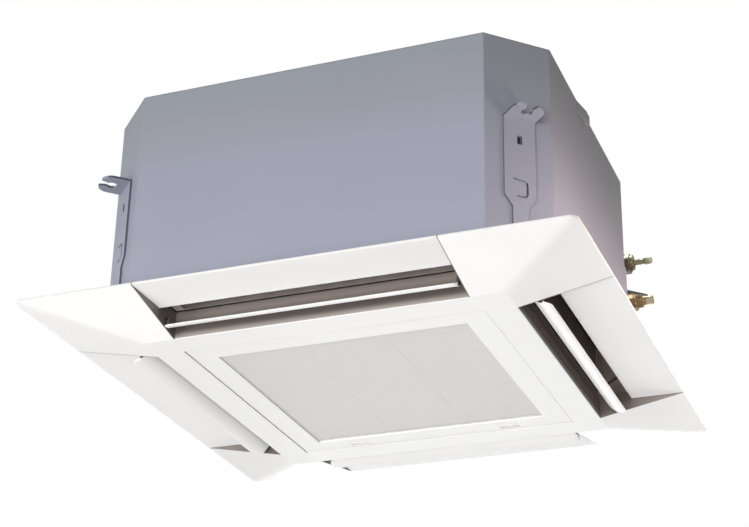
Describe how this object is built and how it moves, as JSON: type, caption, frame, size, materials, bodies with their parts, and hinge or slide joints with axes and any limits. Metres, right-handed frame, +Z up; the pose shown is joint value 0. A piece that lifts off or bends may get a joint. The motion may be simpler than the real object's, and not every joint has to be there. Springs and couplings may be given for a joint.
{
  "type": "ceiling cassette air conditioner",
  "caption": "Ceiling cassette air conditioner: cut-corner steel casing on hanging brackets, white panel with curved air flaps and a grey louvred suction grille",
  "frame": {"origin": "centre of the four suspension holes, at the underside of their tabs; the ceiling plane is 183 mm below it", "axes": "+Z up into the ceiling void, +X right and +Y back as the grille's hinge side faces the front; the pipes leave at the right rear corner"},
  "size_m": [0.7, 0.7, 0.323],
  "materials": {
    "body_paint": "satin",
    "zinc": "satin",
    "screw_steel": "satin",
    "panel_white": "matte",
    "flap_white": "matte",
    "grille_grey": "matte",
    "foam_grey": "matte",
    "pan_foam": "matte",
    "black_plastic": "matte",
    "fan_plastic": "satin",
    "aluminium_fins": "satin",
    "copper": "satin",
    "brass": "satin",
    "dark_brass": "satin",
    "rubber_black": "matte",
    "motor_steel": "satin",
    "board_green": "satin",
    "mesh_grey": "matte",
    "link_plastic": "satin",
    "drain_white": "satin"
  },
  "bodies": {
    "unit": {"casing_side_sheet": "body_paint", "casing_lid": "body_paint", "insulation_liner": "foam_grey", "suspension_bracket_front_right": "body_paint", "suspension_bracket_back_right": "body_paint", "suspension_bracket_back_left": "body_paint", "suspension_bracket_front_left": "body_paint", "pipe_cover": "body_paint", "rubber_grommets": "rubber_black", "liquid_pipe": "copper", "liquid_flare_nut": "dark_brass", "liquid_pipe_cap": "brass", "gas_pipe": "copper", "gas_flare_nut": "brass", "drain_socket": "drain_white", "drain_pan": "pan_foam", "duct_seals": "rubber_black", "bell_mouth": "black_plastic", "coil_fins": "aluminium_fins", "coil_end_plates": "zinc", "coil_return_bends": "copper", "motor_housing": "motor_steel", "motor_mount": "zinc", "motor_bushes": "rubber_black", "motor_screws": "screw_steel", "drain_pump": "drain_white", "drain_hose": "rubber_black", "control_box": "zinc", "control_box_lid": "zinc", "control_board": "board_green", "panel_frame": "panel_white", "panel_screws": "screw_steel", "swing_motor": "motor_steel", "flap_bushes": "black_plastic", "grille_hinge_pins": "link_plastic"},
    "fan": {"fan_hub": "fan_plastic", "fan_blades": "fan_plastic", "fan_shroud": "fan_plastic", "motor_shaft": "screw_steel", "fan_nut": "screw_steel"},
    "pump_rotor": {"pump_impeller": "black_plastic"},
    "float": {"float_ring": "link_plastic"},
    "flap_front_body": {"flap_front": "flap_white", "flap_coupling_front": "link_plastic"},
    "flap_right_body": {"flap_right": "flap_white", "flap_coupling_right": "link_plastic"},
    "flap_back_body": {"flap_back": "flap_white", "flap_coupling_back": "link_plastic"},
    "flap_left_body": {"flap_left": "flap_white", "flap_coupling_left": "link_plastic"},
    "link_front_right": {"link_shaft_front_right": "link_plastic"},
    "link_back_right": {"link_shaft_back_right": "link_plastic"},
    "link_back_left": {"link_shaft_back_left": "link_plastic"},
    "grille": {"grille_frame": "panel_white", "grille_louvre": "grille_grey"},
    "latch_left_body": {"latch_left": "panel_white"},
    "latch_right_body": {"latch_right": "panel_white"},
    "filter": {"filter_frame": "black_plastic", "filter_mesh": "mesh_grey"}
  },
  "joints": [
    {"name": "fan_spin", "type": "hinge", "parent": "unit", "child": "fan", "pos_m": [0, 0, -0.033], "axis": [0, 0, 1], "continuous": true},
    {"name": "pump_spin", "type": "hinge", "parent": "unit", "child": "pump_rotor", "pos_m": [0.17, 0.17, -0.113], "axis": [0, 0, 1], "continuous": true},
    {"name": "float_rise", "type": "slide", "parent": "unit", "child": "float", "axis": [0, 0, 1], "range_m": [0, 0.012]},
    {"name": "flap_front_swing", "type": "hinge", "parent": "unit", "child": "flap_front_body", "pos_m": [0, -0.258, -0.195], "axis": [1, 0, 0], "range_deg": [-22.5, 37.5]},
    {"name": "flap_right_swing", "type": "hinge", "parent": "unit", "child": "flap_right_body", "pos_m": [0.258, 0, -0.195], "axis": [0, 1, 0], "range_deg": [-22.5, 37.5]},
    {"name": "flap_back_swing", "type": "hinge", "parent": "unit", "child": "flap_back_body", "pos_m": [0, 0.258, -0.195], "axis": [-1, 0, 0], "range_deg": [-22.5, 37.5]},
    {"name": "flap_left_swing", "type": "hinge", "parent": "unit", "child": "flap_left_body", "pos_m": [-0.258, 0, -0.195], "axis": [0, -1, 0], "range_deg": [-22.5, 37.5]},
    {"name": "link_front_right_turn", "type": "hinge", "parent": "unit", "child": "link_front_right", "pos_m": [0.23267, -0.23267, -0.195], "axis": [0.7071, 0.7071, 0], "range_deg": [-22.5, 37.5]},
    {"name": "link_back_right_turn", "type": "hinge", "parent": "unit", "child": "link_back_right", "pos_m": [0.23267, 0.23267, -0.195], "axis": [-0.7071, 0.7071, 0], "range_deg": [-22.5, 37.5]},
    {"name": "link_back_left_turn", "type": "hinge", "parent": "unit", "child": "link_back_left", "pos_m": [-0.23267, 0.23267, -0.195], "axis": [-0.7071, -0.7071, 0], "range_deg": [-22.5, 37.5]},
    {"name": "grille_open", "type": "hinge", "parent": "unit", "child": "grille", "pos_m": [0, -0.193, -0.205], "axis": [-1, 0, 0], "range_deg": [0, 90]},
    {"name": "latch_left_slide", "type": "slide", "parent": "grille", "child": "latch_left_body", "axis": [0, 1, 0], "range_m": [0, 0.004]},
    {"name": "latch_right_slide", "type": "slide", "parent": "grille", "child": "latch_right_body", "axis": [0, 1, 0], "range_m": [0, 0.004]},
    {"name": "filter_lift", "type": "slide", "parent": "grille", "child": "filter", "axis": [0, 0, 1], "range_m": [0, 0.012]}
  ],
  "couplings": [
    {"joint": "flap_right_swing", "follows": "flap_front_swing", "ratio": 1},
    {"joint": "flap_back_swing", "follows": "flap_front_swing", "ratio": 1},
    {"joint": "flap_left_swing", "follows": "flap_front_swing", "ratio": 1},
    {"joint": "link_front_right_turn", "follows": "flap_front_swing", "ratio": 1},
    {"joint": "link_back_right_turn", "follows": "flap_front_swing", "ratio": 1},
    {"joint": "link_back_left_turn", "follows": "flap_front_swing", "ratio": 1}
  ]
}
